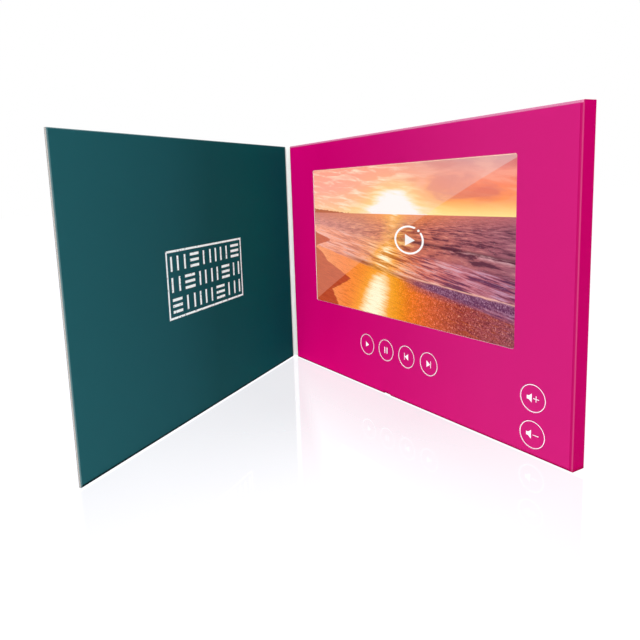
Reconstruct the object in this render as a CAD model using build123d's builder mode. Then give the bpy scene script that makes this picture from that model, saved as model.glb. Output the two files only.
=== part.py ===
"""A video brochure: a card cover that opens like a book on a shallow card box with a 7-inch screen.

Millimetres. The origin is the centre of the box's bottom face, +X runs from the spine to the free
edge, +Y from the screen face to the back, and +Z up. The brochure stands on its lower edges in a V.
Depths are counted from the screen face towards the back, heights from the lower edge.
"""

from build123d import *
import os
from math import cos, radians, sin

os.makedirs("parts", exist_ok=True)

# ---- Driving sizes ----

# printed card, glued in one layer round the box and in two layers in the cover
card = 0.5
face_edge_radius = 1.3
glue_film = 0.1
back_card_inset = 0.5
flap_width = 10.0

# window in the face, and the card left round it
window_width = 153.6
window_height = 84.5
window_corner = 1.0
side_border = 28.2
top_border = 17.6
bottom_border = 45.9

# press caps: four in a row under the window, two at the free edge
cap_radius = 6.3
row_gap = 4.1
volume_gap = 3.8
cap_bottom_margin = 3.7
cap_side_margin = 12.1
cap_thickness = 1.0
cap_slit = 0.12
flange_width = 0.5
flange_thickness = 0.4
stem_radius = 1.5
stem_length = 1.0
press_travel = 0.3

# tact switches under the caps
switch_size = 5.2
switch_height = 1.5
plunger_radius = 1.3
plunger_stand = 0.5
plunger_seat = 0.5
plunger_gap = 0.1

# circuit boards, and the room that the box gives them
board_thickness = 1.0
parts_room = 1.7
board_end = 9.95
volume_board_margin = 1.2
backing_thickness = 1.0
rib = 3.0
fit_gap = 0.4

# display module, from the front to the back
lens_recess = 0.05
lens_gap = 0.1
lens_bevel = 0.3
glass_gap = 0.1
display_tape_thickness = 0.1
glass_thickness = 0.5
glass_overlap = 3.0
glass_ledge = 3.5
film_thickness = 0.3
guide_thickness = 2.0
display_plate_thickness = 0.3
display_frame_wall = 1.5
lamp_size = 1.2
lamp_width = 3.0
lamp_pitch = 7.2
lamp_strip_thickness = 0.3
driver_width = 18.0
driver_height = 1.0
driver_thickness = 0.3
foam_strip_width = 18.0
foam_strip_pitch = 52.0

# ribbons and leads
ribbon_width = 20.0
ribbon_thickness = 0.15
ribbon_room = 1.8
volume_ribbon_width = 5.0
lead_radius = 0.45
lead_spacing = 1.6
lead_lift = 0.1

# parts on the main board
usb_offset = -8.0
usb_width = 7.5
usb_height = 2.5
usb_length = 5.0
usb_wall = 0.3
usb_setback = 0.4
usb_plug_clearance = 0.6
tongue_width = 5.0
tongue_thickness = 0.6
tongue_length = 3.4
notch_width = 6.4
notch_height = 1.0
notch_slope = 0.8
processor_size = 12.0
memory_width = 9.0
memory_height = 14.0
chip_thickness = 1.1
chip_bevel = 0.2
chip_spacing = 22.0
chip_height = 19.0
coil_size = 3.0
coil_thickness = 1.2
coil_pitch = 5.2
coil_height = 7.0
socket_height = 4.0
socket_thickness = 1.2
lead_plug_size = 5.0

# battery and speaker
battery_thickness = 4.4
battery_edge_radius = 1.2
battery_tape_thickness = 0.3
battery_guard_width = 4.0
speaker_radius = 14.0
speaker_height = 4.4
speaker_front_gap = 0.7
speaker_rim = 1.6
speaker_wall = 0.5
speaker_magnet_radius = 7.5
speaker_magnet_thickness = 1.6
cone_thickness = 0.25
cone_depth = 1.3
cone_inner = 4.0

# sensor that wakes the screen, and the magnet in the cover that it feels
sensor_board_width = 7.0
sensor_board_height = 11.0
sensor_width = 4.0
sensor_height = 3.0
sensor_thickness = 1.1
magnet_radius = 4.0
magnet_thickness = 0.5
magnet_gap = 0.1

# folds of the card: box to spine, and spine to cover
crease_offset = 0.8
closed_gap = 0.3
crease_slit = 0.15
liner_setback = 2.0
cover_short = 2.0
fold_at_rest = 61.4


# ---- Sizes that follow from them ----

block_width = window_width + 2 * side_border
block_height = bottom_border + window_height + top_border

board_front = cap_thickness + stem_length + plunger_stand + switch_height
board_back = board_front + board_thickness
backing_front = board_back + parts_room
flap_front = backing_front + backing_thickness
block_depth = flap_front + card

face_y = -block_depth / 2
inner_right = block_width / 2 - card
inner_left = -inner_right
inner_low = card
inner_high = block_height - card

window_low = bottom_border
window_high = window_low + window_height
window_middle = (window_low + window_high) / 2

row_pitch = 2 * cap_radius + row_gap
volume_pitch = 2 * cap_radius + volume_gap
volume_down_z = cap_bottom_margin + cap_radius
row_z = volume_down_z + volume_pitch
volume_x = block_width / 2 - cap_side_margin - cap_radius
flange_radius = cap_radius + flange_width
row_x = [(place - 1.5) * row_pitch for place in range(4)]

glass_front = card + display_tape_thickness
rear_glass_front = glass_front + glass_thickness
film_front = rear_glass_front + glass_thickness
guide_front = film_front + film_thickness
display_plate_front = guide_front + guide_thickness
display_back = display_plate_front + display_plate_thickness
glass_half_width = window_width / 2 + glass_overlap
glass_low = window_low - glass_overlap
glass_high = window_high + glass_overlap
ledge_low = glass_low - glass_ledge
lamp_count = int((2 * glass_half_width - lamp_width) / lamp_pitch)
module_half_width = glass_half_width + glass_gap + display_frame_wall
module_low = ledge_low - glass_gap - display_frame_wall
module_high = glass_high + glass_gap + display_frame_wall

board_half_width = 1.5 * row_pitch + board_end
board_low = card + usb_setback
board_high = module_low - ribbon_room
volume_board_half = flange_radius + volume_board_margin - flange_width
volume_board_low = volume_down_z - volume_board_half
volume_board_high = row_z + volume_board_half

battery_left = inner_left + rib + fit_gap
battery_right = -board_half_width - rib - 2 * fit_gap
battery_low = inner_low + rib + fit_gap
battery_high = module_low - rib - 2 * fit_gap
battery_back = backing_front - battery_tape_thickness
battery_front = battery_back - battery_thickness
speaker_x = (board_half_width + volume_x - volume_board_half) / 2
speaker_z = inner_low + rib + fit_gap + speaker_radius
speaker_front = card + speaker_front_gap
speaker_back = speaker_front + speaker_height
sensor_x = (module_half_width + inner_right) / 2
sensor_z = block_height / 2

row_names = ["play", "pause", "previous", "next"]
volume_names = ["volume_up", "volume_down"]
cap_places = {name: (x, row_z) for name, x in zip(row_names, row_x)}
cap_places["volume_up"] = (volume_x, row_z)
cap_places["volume_down"] = (volume_x, volume_down_z)
switch_front = board_front - switch_height

slot_left = usb_offset - usb_width / 2 - usb_plug_clearance
slot_right = usb_offset + usb_width / 2 + usb_plug_clearance
slot_front = board_front - usb_height - usb_plug_clearance
slot_back = board_front + usb_plug_clearance

socket_high = board_high - rib / 2
ribbon_turn_z = (module_low + board_high) / 2
ribbon_back = board_back + socket_thickness / 2
battery_lead_z = battery_low + battery_edge_radius + lead_plug_size
channel_half = lead_spacing / 2 + lead_radius + fit_gap
lead_y = face_y + board_back + lead_radius + lead_lift
volume_ribbon_z = speaker_z + lead_plug_size
volume_ribbon_depth = (speaker_back + backing_front) / 2
volume_ribbon_left = board_half_width - rib
volume_ribbon_right = volume_x - volume_board_half + rib
sensor_lead_x = (sensor_x - sensor_board_width / 2 + volume_x + volume_board_half) / 2

cone_front = speaker_front + speaker_wall
cone_outer = speaker_radius - speaker_rim

liner_layers = glue_film + card
spine_length = block_depth + liner_layers + closed_gap
cover_width = block_width + crease_offset - cover_short
crease_x = -block_width / 2 - crease_offset
magnet_reach = sensor_x - crease_x
back_y = face_y + block_depth


# ---- Helpers ----


def at_depth(depth):
    """Plane parallel to the face, that far behind it, with X to the right and heights up."""
    return Plane((0, face_y + depth, 0), x_dir=(1, 0, 0), z_dir=(0, -1, 0))


def area(left, right, low, high, mode=Mode.ADD):
    """A rectangle between two places across and two heights, in the sketch being drawn."""
    with Locations(((left + right) / 2, (low + high) / 2)):
        Rectangle(right - left, high - low, mode=mode)


def save(piece, name):
    """Names a finished piece and writes it to its own file."""
    piece.part.label = name
    export_step(piece.part, f"parts/{name}.step")


# ---- Box: printed card, filler and backing ----

# the space inside the folded card
with BuildPart() as case_room:
    with BuildSketch(at_depth(card)):
        area(inner_left, inner_right, inner_low, inner_high)
    extrude(amount=-(block_depth - 2 * card))
    fillet(case_room.faces().sort_by(Axis.Y)[0].edges(), face_edge_radius - card)

# face, four sides and glue flaps, cut and folded from one magenta sheet
with BuildPart() as case_card:
    with BuildSketch(at_depth(0)):
        area(-block_width / 2, block_width / 2, 0, block_height)
    extrude(amount=-block_depth)
    fillet(case_card.faces().sort_by(Axis.Y)[0].edges(), face_edge_radius)
    add(case_room.part, mode=Mode.SUBTRACT)
    with BuildSketch(at_depth(flap_front)):
        area(
            inner_left + flap_width,
            inner_right - flap_width,
            inner_low + flap_width,
            inner_high - flap_width,
        )
    extrude(amount=-card, mode=Mode.SUBTRACT)
    with BuildSketch(at_depth(0)):
        with Locations((0, window_middle)):
            RectangleRounded(window_width, window_height, window_corner)
        with Locations(list(cap_places.values())):
            Circle(cap_radius + cap_slit)
    extrude(amount=-card, mode=Mode.SUBTRACT)
    with BuildSketch(Plane.XY):
        area(slot_left, slot_right, face_y + slot_front, face_y + slot_back)
    extrude(amount=card, mode=Mode.SUBTRACT)
    with BuildSketch(at_depth(0)):
        with BuildLine():
            Polyline(
                (usb_offset - notch_width / 2, 0),
                (usb_offset - notch_width / 2 + notch_slope, notch_height),
                (usb_offset + notch_width / 2 - notch_slope, notch_height),
                (usb_offset + notch_width / 2, 0),
                close=True,
            )
        make_face()
    extrude(amount=-slot_front, mode=Mode.SUBTRACT)
save(case_card, "case_card")

# foam that fills the box round the parts, with a pocket for each and channels for the leads
with BuildPart() as filler_frame:
    with BuildSketch(at_depth(face_edge_radius)):
        area(inner_left, inner_right, inner_low, inner_high)
        area(
            -module_half_width - fit_gap,
            module_half_width + fit_gap,
            module_low - fit_gap,
            module_high + fit_gap,
            mode=Mode.SUBTRACT,
        )
        area(
            -ribbon_width / 2 - fit_gap,
            ribbon_width / 2 + fit_gap,
            board_high,
            module_low,
            mode=Mode.SUBTRACT,
        )
        area(
            -board_half_width - fit_gap,
            board_half_width + fit_gap,
            inner_low,
            board_high + fit_gap,
            mode=Mode.SUBTRACT,
        )
        area(
            battery_left - fit_gap,
            battery_right + fit_gap,
            battery_low - fit_gap,
            battery_high + fit_gap,
            mode=Mode.SUBTRACT,
        )
        with Locations((speaker_x, speaker_z)):
            Circle(speaker_radius + fit_gap, mode=Mode.SUBTRACT)
        area(
            volume_x - volume_board_half - fit_gap,
            volume_x + volume_board_half + fit_gap,
            volume_board_low - fit_gap,
            volume_board_high + fit_gap,
            mode=Mode.SUBTRACT,
        )
        area(
            sensor_x - sensor_board_width / 2 - fit_gap,
            sensor_x + sensor_board_width / 2 + fit_gap,
            sensor_z - sensor_board_height / 2 - fit_gap,
            sensor_z + sensor_board_height / 2 + fit_gap,
            mode=Mode.SUBTRACT,
        )
    extrude(amount=-(backing_front - face_edge_radius))
    with BuildSketch(at_depth(board_front)):
        area(
            battery_right,
            -board_half_width,
            battery_lead_z - channel_half,
            battery_lead_z + channel_half,
        )
        area(
            board_half_width,
            speaker_x,
            speaker_z - channel_half,
            speaker_z + channel_half,
        )
        area(
            board_half_width,
            volume_x,
            volume_ribbon_z - fit_gap,
            volume_ribbon_z + volume_ribbon_width + fit_gap,
        )
        area(
            sensor_lead_x - channel_half,
            sensor_lead_x + channel_half,
            volume_board_high,
            sensor_z,
        )
    extrude(amount=-(backing_front - board_front), mode=Mode.SUBTRACT)
save(filler_frame, "filler_frame")

# grey board behind the parts
with BuildPart() as backing_board:
    with BuildSketch(at_depth(backing_front)):
        area(
            inner_left + fit_gap,
            inner_right - fit_gap,
            inner_low + fit_gap,
            inner_high - fit_gap,
        )
    extrude(amount=-backing_thickness)
save(backing_board, "backing_board")


# ---- Screen and display module, from the front to the back ----

with BuildPart() as screen_lens:
    with BuildSketch(at_depth(lens_recess)):
        with Locations((0, window_middle)):
            RectangleRounded(
                window_width - 2 * lens_gap, window_height - 2 * lens_gap, window_corner
            )
    extrude(amount=-(glass_front - lens_recess))
    chamfer(screen_lens.faces().sort_by(Axis.Y)[0].edges(), lens_bevel)
save(screen_lens, "screen_lens")

# double-sided tape that holds the glass to the back of the face
with BuildPart() as display_tape:
    with BuildSketch(at_depth(card)):
        area(-glass_half_width, glass_half_width, glass_low, glass_high)
        with Locations((0, window_middle)):
            Rectangle(window_width, window_height, mode=Mode.SUBTRACT)
    extrude(amount=-display_tape_thickness)
save(display_tape, "display_tape")

with BuildPart() as display_front_glass:
    with BuildSketch(at_depth(glass_front)):
        area(-glass_half_width, glass_half_width, glass_low, glass_high)
    extrude(amount=-glass_thickness)
save(display_front_glass, "display_front_glass")

# the rear glass reaches lower, and carries the driver chip and the ribbon on its ledge
with BuildPart() as display_rear_glass:
    with BuildSketch(at_depth(rear_glass_front)):
        area(-glass_half_width, glass_half_width, ledge_low, glass_high)
    extrude(amount=-glass_thickness)
save(display_rear_glass, "display_rear_glass")

with BuildPart() as display_driver:
    with BuildSketch(at_depth(rear_glass_front - driver_thickness)):
        with Locations((0, glass_low - driver_height)):
            Rectangle(driver_width, driver_height)
    extrude(amount=-driver_thickness)
save(display_driver, "display_driver")

with BuildPart() as diffuser_films:
    with BuildSketch(at_depth(film_front)):
        area(-glass_half_width, glass_half_width, glass_low, glass_high)
    extrude(amount=-film_thickness)
save(diffuser_films, "diffuser_films")

with BuildPart() as light_guide:
    with BuildSketch(at_depth(guide_front)):
        area(-glass_half_width, glass_half_width, glass_low, glass_high)
    extrude(amount=-guide_thickness)
save(light_guide, "light_guide")

# a row of lamps on a strip shines into the guide's lower edge
with BuildPart() as backlight_strip:
    with BuildSketch(at_depth(guide_front)):
        with Locations((0, glass_low - glass_gap - lamp_size / 2)):
            with GridLocations(lamp_pitch, 0, lamp_count, 1):
                Rectangle(lamp_width, lamp_size)
        with Locations((0, glass_low - glass_gap - lamp_size - lamp_strip_thickness / 2)):
            Rectangle(lamp_pitch * lamp_count, lamp_strip_thickness)
    extrude(amount=-guide_thickness)
save(backlight_strip, "backlight_strip")

# moulded frame round the glass and the guide, open at the bottom for the ribbon
with BuildPart() as display_frame:
    with BuildSketch(at_depth(glass_front)):
        area(-module_half_width, module_half_width, module_low, module_high)
        area(
            -glass_half_width - glass_gap,
            glass_half_width + glass_gap,
            ledge_low - glass_gap,
            glass_high + glass_gap,
            mode=Mode.SUBTRACT,
        )
    extrude(amount=-(display_plate_front - glass_front))
    with BuildSketch(at_depth(glass_front)):
        area(
            -ribbon_width / 2 - fit_gap,
            ribbon_width / 2 + fit_gap,
            module_low,
            ledge_low - glass_gap,
        )
    extrude(amount=-glass_thickness, mode=Mode.SUBTRACT)
save(display_frame, "display_frame")

with BuildPart() as display_plate:
    with BuildSketch(at_depth(display_plate_front)):
        area(-module_half_width, module_half_width, module_low, module_high)
    extrude(amount=-display_plate_thickness)
save(display_plate, "display_plate")

# foam strips that press the module against the face
with BuildPart() as foam_strips:
    with BuildSketch(at_depth(display_back)):
        with Locations((0, (module_low + module_high) / 2)):
            with GridLocations(foam_strip_pitch, 0, 3, 1):
                Rectangle(foam_strip_width, module_high - module_low - 2 * rib)
    extrude(amount=-(backing_front - display_back))
save(foam_strips, "foam_strips")

# film ribbon from the ledge, over the main board's upper edge, to the socket behind it
with BuildPart() as display_ribbon:
    with BuildSketch(Plane.YZ.offset(-ribbon_width / 2)):
        area(
            face_y + rear_glass_front - ribbon_thickness,
            face_y + rear_glass_front,
            ribbon_turn_z,
            glass_low - 2 * driver_height,
        )
        area(
            face_y + rear_glass_front - ribbon_thickness,
            face_y + ribbon_back,
            ribbon_turn_z,
            ribbon_turn_z + ribbon_thickness,
        )
        area(
            face_y + ribbon_back - ribbon_thickness,
            face_y + ribbon_back,
            socket_high,
            ribbon_turn_z + ribbon_thickness,
        )
    extrude(amount=ribbon_width)
save(display_ribbon, "display_ribbon")


# ---- Main board ----

with BuildPart() as main_board:
    with BuildSketch(at_depth(board_front)):
        area(-board_half_width, board_half_width, board_low, board_high)
    extrude(amount=-board_thickness)
save(main_board, "main_board")

# charging socket: a steel shell open at the bottom, and the tongue inside it
with BuildPart() as usb_socket:
    with BuildSketch(Plane.XY.offset(board_low)):
        with Locations((usb_offset, face_y + board_front - usb_height / 2)):
            RectangleRounded(usb_width, usb_height, usb_wall)
    extrude(amount=usb_length)
    with BuildSketch(Plane.XY.offset(board_low)):
        with Locations((usb_offset, face_y + board_front - usb_height / 2)):
            Rectangle(usb_width - 2 * usb_wall, usb_height - 2 * usb_wall)
    extrude(amount=usb_length - usb_wall, mode=Mode.SUBTRACT)
save(usb_socket, "usb_socket")

with BuildPart() as usb_tongue:
    with BuildSketch(Plane.XY.offset(board_low + usb_length - usb_wall)):
        with Locations((usb_offset, face_y + board_front - usb_height / 2)):
            Rectangle(tongue_width, tongue_thickness)
    extrude(amount=-tongue_length)
save(usb_tongue, "usb_tongue")

with BuildPart() as processor:
    with BuildSketch(at_depth(board_back)):
        with Locations((-chip_spacing / 2, chip_height)):
            Rectangle(processor_size, processor_size)
    extrude(amount=-chip_thickness)
    chamfer(processor.faces().sort_by(Axis.Y)[-1].edges(), chip_bevel)
save(processor, "processor")

with BuildPart() as memory_chip:
    with BuildSketch(at_depth(board_back)):
        with Locations((chip_spacing / 2, chip_height)):
            Rectangle(memory_width, memory_height)
    extrude(amount=-chip_thickness)
    chamfer(memory_chip.faces().sort_by(Axis.Y)[-1].edges(), chip_bevel)
save(memory_chip, "memory_chip")

with BuildPart() as power_coils:
    with BuildSketch(at_depth(board_back)):
        with Locations((0, coil_height)):
            with GridLocations(coil_pitch, 0, 4, 1):
                RectangleRounded(coil_size, coil_size, coil_size / 4)
    extrude(amount=-coil_thickness)
save(power_coils, "power_coils")

with BuildPart() as ribbon_socket:
    with BuildSketch(at_depth(board_back)):
        area(
            -ribbon_width / 2 - fit_gap,
            ribbon_width / 2 + fit_gap,
            socket_high - socket_height,
            socket_high,
        )
    extrude(amount=-socket_thickness)
save(ribbon_socket, "ribbon_socket")

with BuildPart() as battery_plug:
    with BuildSketch(at_depth(board_back)):
        with Locations((-board_half_width + lead_plug_size, battery_lead_z)):
            Rectangle(lead_plug_size, lead_plug_size)
    extrude(amount=-socket_thickness)
save(battery_plug, "battery_plug")

with BuildPart() as speaker_plug:
    with BuildSketch(at_depth(board_back)):
        with Locations((board_half_width - lead_plug_size, speaker_z)):
            Rectangle(lead_plug_size, lead_plug_size)
    extrude(amount=-socket_thickness)
save(speaker_plug, "speaker_plug")


# ---- Volume board and its ribbon ----

with BuildPart() as volume_board:
    with BuildSketch(at_depth(board_front)):
        area(
            volume_x - volume_board_half,
            volume_x + volume_board_half,
            volume_board_low,
            volume_board_high,
        )
    extrude(amount=-board_thickness)
save(volume_board, "volume_board")

# flat ribbon that passes behind the speaker, soldered to the backs of both boards
with BuildPart() as volume_ribbon:
    with BuildSketch(Plane.XY.offset(volume_ribbon_z)):
        area(
            volume_ribbon_left,
            volume_ribbon_right,
            face_y + volume_ribbon_depth,
            face_y + volume_ribbon_depth + ribbon_thickness,
        )
        area(
            volume_ribbon_left,
            volume_ribbon_left + ribbon_thickness,
            face_y + board_back,
            face_y + volume_ribbon_depth,
        )
        area(
            volume_ribbon_right - ribbon_thickness,
            volume_ribbon_right,
            face_y + board_back,
            face_y + volume_ribbon_depth,
        )
    extrude(amount=volume_ribbon_width)
save(volume_ribbon, "volume_ribbon")


# ---- Switches and press caps ----


def switch_bodies(places):
    """Square switch housings on the front of a board, each with a bore for its plunger."""
    with BuildPart() as switches:
        with BuildSketch(at_depth(switch_front)):
            with Locations(places):
                Rectangle(switch_size, switch_size)
        extrude(amount=-switch_height)
        with BuildSketch(at_depth(switch_front)):
            with Locations(places):
                Circle(plunger_radius + plunger_gap)
        extrude(amount=-(plunger_seat + press_travel + plunger_gap), mode=Mode.SUBTRACT)
    return switches


save(switch_bodies([cap_places[name] for name in row_names]), "row_switches")
save(switch_bodies([cap_places[name] for name in volume_names]), "volume_switches")

for name, place in cap_places.items():
    # printed disc, the flange that keeps it behind the face, and the stem that presses the switch
    with BuildPart() as press_cap:
        with BuildSketch(at_depth(0)):
            with Locations(place):
                Circle(cap_radius)
        extrude(amount=-cap_thickness)
        with BuildSketch(at_depth(cap_thickness - flange_thickness)):
            with Locations(place):
                Circle(flange_radius)
        extrude(amount=-flange_thickness)
        with BuildSketch(at_depth(cap_thickness)):
            with Locations(place):
                Circle(stem_radius)
        extrude(amount=-stem_length)
    save(press_cap, f"{name}_button")

    with BuildPart() as plunger:
        with BuildSketch(at_depth(switch_front - plunger_stand)):
            with Locations(place):
                Circle(plunger_radius)
        extrude(amount=-(plunger_stand + plunger_seat))
    save(plunger, f"{name}_plunger")


# ---- Battery ----

# foil pouch cell
with BuildPart() as battery_cell:
    with BuildSketch(at_depth(battery_front)):
        area(battery_left, battery_right - battery_guard_width, battery_low, battery_high)
    extrude(amount=-battery_thickness)
    fillet(battery_cell.edges().filter_by(Axis.Z), battery_edge_radius)
save(battery_cell, "battery_cell")

# taped protection strip over the cell's end
with BuildPart() as battery_guard:
    with BuildSketch(at_depth(battery_front + battery_edge_radius)):
        area(
            battery_right - battery_guard_width,
            battery_right,
            battery_low + battery_edge_radius,
            battery_high - battery_edge_radius,
        )
    extrude(amount=-(battery_thickness - battery_edge_radius))
save(battery_guard, "battery_guard")

with BuildPart() as battery_tape:
    with BuildSketch(at_depth(battery_back)):
        area(
            battery_left + rib,
            battery_right - battery_guard_width - rib,
            battery_low + rib,
            battery_high - rib,
        )
    extrude(amount=-battery_tape_thickness)
save(battery_tape, "battery_tape")


def lead_pair(plane, reach):
    """Two round leads side by side, straight out of a plane for the given reach."""
    with BuildPart() as leads:
        with BuildSketch(plane):
            with GridLocations(lead_spacing, 0, 2, 1):
                Circle(lead_radius)
        extrude(amount=reach)
    return leads


save(
    lead_pair(
        Plane((battery_right, lead_y, battery_lead_z), x_dir=(0, 0, 1), z_dir=(1, 0, 0)),
        lead_plug_size / 2 - board_half_width - battery_right,
    ),
    "battery_leads",
)


# ---- Speaker ----

speaker_axis = Axis((speaker_x, face_y, speaker_z), (0, 1, 0))
speaker_section = Plane((speaker_x, face_y, speaker_z), x_dir=(1, 0, 0), z_dir=(0, 0, 1))

# round can with a floor that holds the magnet
with BuildPart() as speaker_frame:
    with BuildSketch(speaker_section):
        area(speaker_radius - speaker_wall, speaker_radius, speaker_front, speaker_back)
        area(speaker_radius - speaker_rim, speaker_radius, cone_front - speaker_wall, cone_front)
        area(speaker_magnet_radius, speaker_radius, speaker_back - speaker_wall, speaker_back)
    revolve(axis=speaker_axis)
save(speaker_frame, "speaker_frame")

with BuildPart() as speaker_magnet:
    with BuildSketch(speaker_section):
        area(0, speaker_magnet_radius, speaker_back - speaker_magnet_thickness, speaker_back)
    revolve(axis=speaker_axis)
save(speaker_magnet, "speaker_magnet")

# paper cone with a domed centre
with BuildPart() as speaker_cone:
    with BuildSketch(speaker_section):
        with BuildLine():
            front_dome = TangentArc(
                (0, cone_front + cone_thickness),
                (cone_inner, cone_front + cone_depth - cone_thickness),
                tangent=(1, 0),
            )
            back_dome = TangentArc(
                (0, cone_front + 2 * cone_thickness),
                (cone_inner, cone_front + cone_depth),
                tangent=(1, 0),
            )
            Polyline(
                front_dome @ 1,
                (cone_outer, cone_front),
                (cone_outer, cone_front + cone_thickness),
                back_dome @ 1,
            )
            Line(front_dome @ 0, back_dome @ 0)
        make_face()
    revolve(axis=speaker_axis)
save(speaker_cone, "speaker_cone")

save(
    lead_pair(
        Plane((board_half_width - lead_plug_size / 2, lead_y, speaker_z), x_dir=(0, 0, 1), z_dir=(1, 0, 0)),
        speaker_x - speaker_radius - board_half_width + lead_plug_size / 2,
    ),
    "speaker_leads",
)


# ---- Lid sensor ----

with BuildPart() as sensor_board:
    with BuildSketch(at_depth(board_front)):
        with Locations((sensor_x, sensor_z)):
            Rectangle(sensor_board_width, sensor_board_height)
    extrude(amount=-board_thickness)
save(sensor_board, "sensor_board")

with BuildPart() as lid_sensor:
    with BuildSketch(at_depth(board_front - sensor_thickness)):
        with Locations((sensor_x, sensor_z)):
            Rectangle(sensor_width, sensor_height)
    extrude(amount=-sensor_thickness)
save(lid_sensor, "lid_sensor")

save(
    lead_pair(
        Plane((sensor_lead_x, lead_y, volume_board_high - rib), x_dir=(1, 0, 0), z_dir=(0, 0, 1)),
        sensor_z - volume_board_high + rib,
    ),
    "sensor_leads",
)


# ---- Cover sheet: back panel, spine and cover ----

back_fold = Vector(crease_x, back_y, 0)
spine_direction = Vector(-cos(radians(fold_at_rest)), -sin(radians(fold_at_rest)), 0)
cover_fold = back_fold + spine_direction * spine_length
cover_direction = Vector(-cos(radians(2 * fold_at_rest)), -sin(radians(2 * fold_at_rest)), 0)

# inner faces of the spine and the cover: X runs away from the fold, heights up
spine_plane = Plane(back_fold, x_dir=spine_direction, z_dir=spine_direction.cross(Vector(0, 0, 1)))
cover_plane = Plane(cover_fold, x_dir=cover_direction, z_dir=cover_direction.cross(Vector(0, 0, 1)))

with BuildPart() as back_card:
    with BuildSketch(at_depth(block_depth)):
        area(crease_x + crease_slit, block_width / 2 - back_card_inset, 0, block_height)
    extrude(amount=-card)
save(back_card, "back_card")

with BuildPart() as spine_card:
    with BuildSketch(spine_plane):
        area(crease_slit, spine_length - crease_slit, 0, block_height)
    extrude(amount=card)
save(spine_card, "spine_card")

with BuildPart() as cover_card:
    with BuildSketch(cover_plane):
        area(crease_slit, cover_width, 0, block_height)
    extrude(amount=card)
    with BuildSketch(cover_plane):
        with Locations((magnet_reach, sensor_z)):
            Circle(magnet_radius + magnet_gap)
    extrude(amount=magnet_thickness - glue_film, mode=Mode.SUBTRACT)
save(cover_card, "cover_card")

with BuildPart() as cover_glue:
    with BuildSketch(cover_plane):
        area(liner_setback, cover_width, 0, block_height)
        with Locations((magnet_reach, sensor_z)):
            Circle(magnet_radius + magnet_gap, mode=Mode.SUBTRACT)
    extrude(amount=-glue_film)
save(cover_glue, "cover_glue")

with BuildPart() as cover_liner:
    with BuildSketch(cover_plane.offset(-glue_film)):
        area(liner_setback, cover_width, 0, block_height)
    extrude(amount=-card)
save(cover_liner, "cover_liner")

with BuildPart() as cover_magnet:
    with BuildSketch(cover_plane.offset(-glue_film)):
        with Locations((magnet_reach, sensor_z)):
            Circle(magnet_radius)
    extrude(amount=magnet_thickness)
save(cover_magnet, "cover_magnet")
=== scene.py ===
"""Looks of the video brochure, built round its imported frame. Metres, in the frame's own axes."""

from functools import partial
from math import cos, pi, radians, sin

import bmesh
import bpy
from mathutils import Matrix, Vector


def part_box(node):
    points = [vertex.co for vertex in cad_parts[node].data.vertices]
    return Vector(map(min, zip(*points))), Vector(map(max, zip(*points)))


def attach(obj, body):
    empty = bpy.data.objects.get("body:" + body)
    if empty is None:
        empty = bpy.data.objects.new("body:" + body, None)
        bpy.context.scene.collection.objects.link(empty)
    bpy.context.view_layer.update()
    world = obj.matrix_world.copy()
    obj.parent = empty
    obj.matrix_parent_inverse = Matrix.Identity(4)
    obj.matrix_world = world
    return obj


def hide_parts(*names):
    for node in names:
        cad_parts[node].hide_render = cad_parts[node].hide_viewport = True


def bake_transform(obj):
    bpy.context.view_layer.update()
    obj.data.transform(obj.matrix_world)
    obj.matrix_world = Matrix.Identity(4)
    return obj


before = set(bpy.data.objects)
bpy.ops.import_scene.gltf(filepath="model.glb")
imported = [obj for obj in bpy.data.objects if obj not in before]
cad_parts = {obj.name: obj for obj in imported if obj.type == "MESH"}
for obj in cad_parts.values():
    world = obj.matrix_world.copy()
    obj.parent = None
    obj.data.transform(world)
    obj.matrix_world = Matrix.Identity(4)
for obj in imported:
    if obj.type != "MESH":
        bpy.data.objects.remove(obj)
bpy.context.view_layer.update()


# ---- Camera ----
# Stands in front of the open brochure and looks along the middle of the V between the cover and the
# box, from about its own height.
camera = bpy.data.objects.new("camera", bpy.data.cameras.new("camera"))
bpy.context.scene.collection.objects.link(camera)
bpy.context.scene.camera = camera
camera.location = (0.245999, -0.218807, 0.121047)
camera.rotation_euler = (radians(81.5384), radians(2.7008), radians(61.4497))
camera.data.sensor_width = 36
camera.data.lens = 33.2242
camera.data.shift_x = 0.09318
camera.data.shift_y = -0.06921
camera.data.clip_start = 0.01


# ---- Box card ----
# One sheet of 0.5 mm art card, printed magenta, film-laminated, cut, creased and folded round the
# filler. Painted highlights pale its rounded folds, painted shade darkens its sides and foot, and cut edges
# show the white core.
mm = 0.001
box_low, box_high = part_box("case_card")
magenta_ink = "#d4107c"
card_core = "#efe9e4"


def linear(tone):
    """An sRGB hex colour as the linear values that a shader takes."""
    channels = [int(tone[place : place + 2], 16) / 255 for place in (1, 3, 5)]
    return [c / 12.92 if c <= 0.04045 else ((c + 0.055) / 1.055) ** 2.4 for c in channels] + [1.0]


def new_tree(name):
    """A material of that name, and its empty node tree."""
    material = bpy.data.materials.new(name)
    material.use_nodes = True
    material.node_tree.nodes.clear()
    return material, material.node_tree


def add(tree, kind, inputs=None, stops=None, **settings):
    """Adds a shader node with its settings, its ramp's stops and its inputs.

    An input is a value, a hex colour, or the socket or node that is linked to it.
    """
    node = tree.nodes.new("ShaderNode" + kind)
    for name, value in settings.items():
        setattr(node, name, value)
    for place, (position, tone) in enumerate(stops or []):
        elements = node.color_ramp.elements
        stop = elements[place] if place < 2 else elements.new(position)
        stop.position = position
        stop.color = linear(tone)
    for name, value in (inputs or {}).items():
        if isinstance(value, bpy.types.Node):
            value = next(socket for socket in value.outputs if socket.enabled)
        if isinstance(value, bpy.types.NodeSocket):
            tree.links.new(value, node.inputs[name])
        else:
            node.inputs[name].default_value = linear(value) if isinstance(value, str) else value
    return node


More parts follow.
